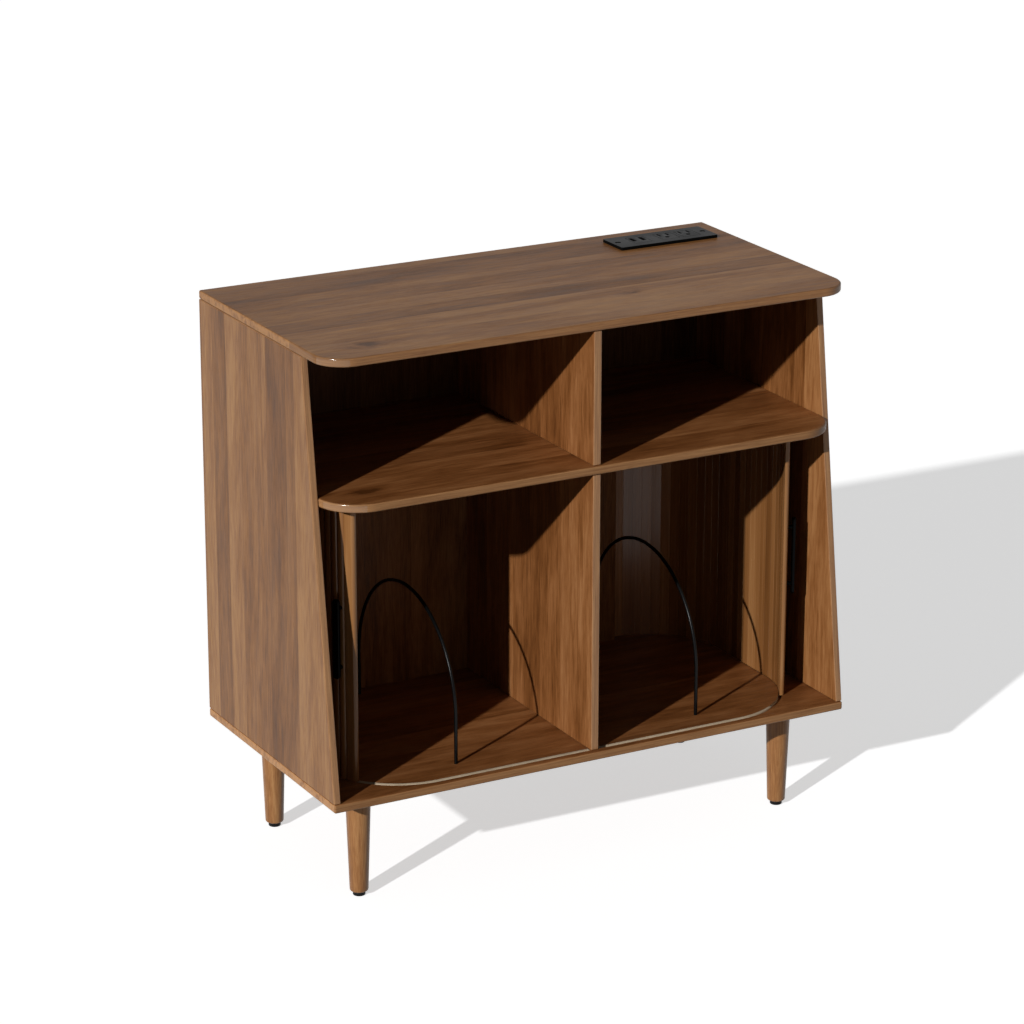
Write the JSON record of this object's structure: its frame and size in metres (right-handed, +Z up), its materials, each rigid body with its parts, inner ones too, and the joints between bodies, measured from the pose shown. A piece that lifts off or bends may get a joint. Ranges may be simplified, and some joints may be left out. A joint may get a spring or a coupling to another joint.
{
  "type": "record cabinet",
  "caption": "Walnut record cabinet on turned legs, with open upper compartments, tambour doors running in curved grooves, wire arch dividers and a power strip in the top.",
  "frame": {"origin": "on the floor, under the middle of the bottom panel", "axes": "+X to the viewer's right along the width, +Y from the open front to the back, +Z up"},
  "size_m": [0.8, 0.4046, 0.7833],
  "materials": {
    "walnut_board": "satin walnut laminate",
    "back_board": "satin walnut laminate",
    "tambour": "satin walnut slats",
    "turned_leg": "satin stained wood",
    "black_wire": "gloss black",
    "black_plastic": "fine matte",
    "glide_plastic": "matte",
    "zinc_steel": "zinc plated",
    "black_steel": "blackened"
  },
  "bodies": {
    "root": {"arch_left": "black_wire", "arch_right": "black_wire", "back_panel": "back_board", "bottom_panel": "walnut_board", "divider_lower": "walnut_board", "divider_upper": "walnut_board", "glide_back_left": "glide_plastic", "glide_back_right": "glide_plastic", "glide_front_left": "glide_plastic", "glide_front_right": "glide_plastic", "inner_back_left": "walnut_board", "inner_back_right": "walnut_board", "leg_back_left": "turned_leg", "leg_back_right": "turned_leg", "leg_front_left": "turned_leg", "leg_front_right": "turned_leg", "leg_stud_back_left": "zinc_steel", "leg_stud_back_right": "zinc_steel", "leg_stud_front_left": "zinc_steel", "leg_stud_front_right": "zinc_steel", "shelf": "walnut_board", "side_left": "walnut_board", "side_right": "walnut_board", "strip_gland": "black_plastic", "strip_housing": "black_plastic", "strip_outlet_1": "black_plastic", "strip_outlet_2": "black_plastic", "strip_plate": "black_plastic", "strip_screw_left": "black_steel", "strip_screw_right": "black_steel", "strip_usb": "black_plastic", "top_panel": "walnut_board"},
    "door_left_run": {"door_left_run": "tambour"},
    "door_left_tail": {"door_left_tail": "tambour"},
    "door_left_slat_1": {"door_left_slat_1": "tambour"},
    "door_left_slat_2": {"door_left_slat_2": "tambour"},
    "door_left_slat_3": {"door_left_slat_3": "tambour"},
    "door_left_slat_4": {"door_left_slat_4": "tambour"},
    "door_left_stile": {"door_left_stile": "tambour", "door_left_handle": "black_wire"},
    "door_right_run": {"door_right_run": "tambour"},
    "door_right_tail": {"door_right_tail": "tambour"},
    "door_right_slat_1": {"door_right_slat_1": "tambour"},
    "door_right_slat_2": {"door_right_slat_2": "tambour"},
    "door_right_slat_3": {"door_right_slat_3": "tambour"},
    "door_right_slat_4": {"door_right_slat_4": "tambour"},
    "door_right_stile": {"door_right_stile": "tambour", "door_right_handle": "black_wire"}
  },
  "joints": [
    {"name": "door_left_travel", "type": "hinge", "parent": "root", "child": "door_left_run", "pos_m": [-0.16251, 0.00974, 0.366], "axis": [0, 0, 1], "range_deg": [0, 90]},
    {"name": "door_left_tail_bend", "type": "hinge", "parent": "door_left_run", "child": "door_left_tail", "pos_m": [-0.3575, 0.07249, 0.366], "axis": [0, 0, 1], "range_deg": [0, 11.65]},
    {"name": "door_left_knuckle_1", "type": "hinge", "parent": "door_left_run", "child": "door_left_slat_1", "pos_m": [-0.3575, -0.07103, 0.366], "axis": [0, 0, -1], "range_deg": [0, 5.52]},
    {"name": "door_left_knuckle_2", "type": "hinge", "parent": "door_left_slat_1", "child": "door_left_slat_2", "pos_m": [-0.35639, -0.08254, 0.366], "axis": [0, 0, -1], "range_deg": [0, 5.52]},
    {"name": "door_left_knuckle_3", "type": "hinge", "parent": "door_left_slat_2", "child": "door_left_slat_3", "pos_m": [-0.35418, -0.09388, 0.366], "axis": [0, 0, -1], "range_deg": [0, 5.52]},
    {"name": "door_left_knuckle_4", "type": "hinge", "parent": "door_left_slat_3", "child": "door_left_slat_4", "pos_m": [-0.35089, -0.10496, 0.366], "axis": [0, 0, -1], "range_deg": [0, 5.52]},
    {"name": "door_left_knuckle_5", "type": "hinge", "parent": "door_left_slat_4", "child": "door_left_stile", "pos_m": [-0.34654, -0.11568, 0.366], "axis": [0, 0, -1], "range_deg": [0, 5.52]},
    {"name": "door_right_travel", "type": "hinge", "parent": "root", "child": "door_right_run", "pos_m": [0.16251, 0.00974, 0.366], "axis": [0, 0, -1], "range_deg": [0, 90]},
    {"name": "door_right_tail_bend", "type": "hinge", "parent": "door_right_run", "child": "door_right_tail", "pos_m": [0.3575, 0.07249, 0.366], "axis": [0, 0, -1], "range_deg": [0, 11.65]},
    {"name": "door_right_knuckle_1", "type": "hinge", "parent": "door_right_run", "child": "door_right_slat_1", "pos_m": [0.3575, -0.07103, 0.366], "axis": [0, 0, 1], "range_deg": [0, 5.52]},
    {"name": "door_right_knuckle_2", "type": "hinge", "parent": "door_right_slat_1", "child": "door_right_slat_2", "pos_m": [0.35639, -0.08254, 0.366], "axis": [0, 0, 1], "range_deg": [0, 5.52]},
    {"name": "door_right_knuckle_3", "type": "hinge", "parent": "door_right_slat_2", "child": "door_right_slat_3", "pos_m": [0.35418, -0.09388, 0.366], "axis": [0, 0, 1], "range_deg": [0, 5.52]},
    {"name": "door_right_knuckle_4", "type": "hinge", "parent": "door_right_slat_3", "child": "door_right_slat_4", "pos_m": [0.35089, -0.10496, 0.366], "axis": [0, 0, 1], "range_deg": [0, 5.52]},
    {"name": "door_right_knuckle_5", "type": "hinge", "parent": "door_right_slat_4", "child": "door_right_stile", "pos_m": [0.34654, -0.11568, 0.366], "axis": [0, 0, 1], "range_deg": [0, 5.52]}
  ],
  "couplings": [
    {"joint": "door_left_tail_bend", "follows": "door_left_travel", "ratio": 0.12942},
    {"joint": "door_left_knuckle_1", "follows": "door_left_travel", "ratio": 0.06128},
    {"joint": "door_left_knuckle_2", "follows": "door_left_travel", "ratio": 0.06128},
    {"joint": "door_left_knuckle_3", "follows": "door_left_travel", "ratio": 0.06128},
    {"joint": "door_left_knuckle_4", "follows": "door_left_travel", "ratio": 0.06128},
    {"joint": "door_left_knuckle_5", "follows": "door_left_travel", "ratio": 0.06128},
    {"joint": "door_right_tail_bend", "follows": "door_right_travel", "ratio": 0.12942},
    {"joint": "door_right_knuckle_1", "follows": "door_right_travel", "ratio": 0.06128},
    {"joint": "door_right_knuckle_2", "follows": "door_right_travel", "ratio": 0.06128},
    {"joint": "door_right_knuckle_3", "follows": "door_right_travel", "ratio": 0.06128},
    {"joint": "door_right_knuckle_4", "follows": "door_right_travel", "ratio": 0.06128},
    {"joint": "door_right_knuckle_5", "follows": "door_right_travel", "ratio": 0.06128}
  ]
}
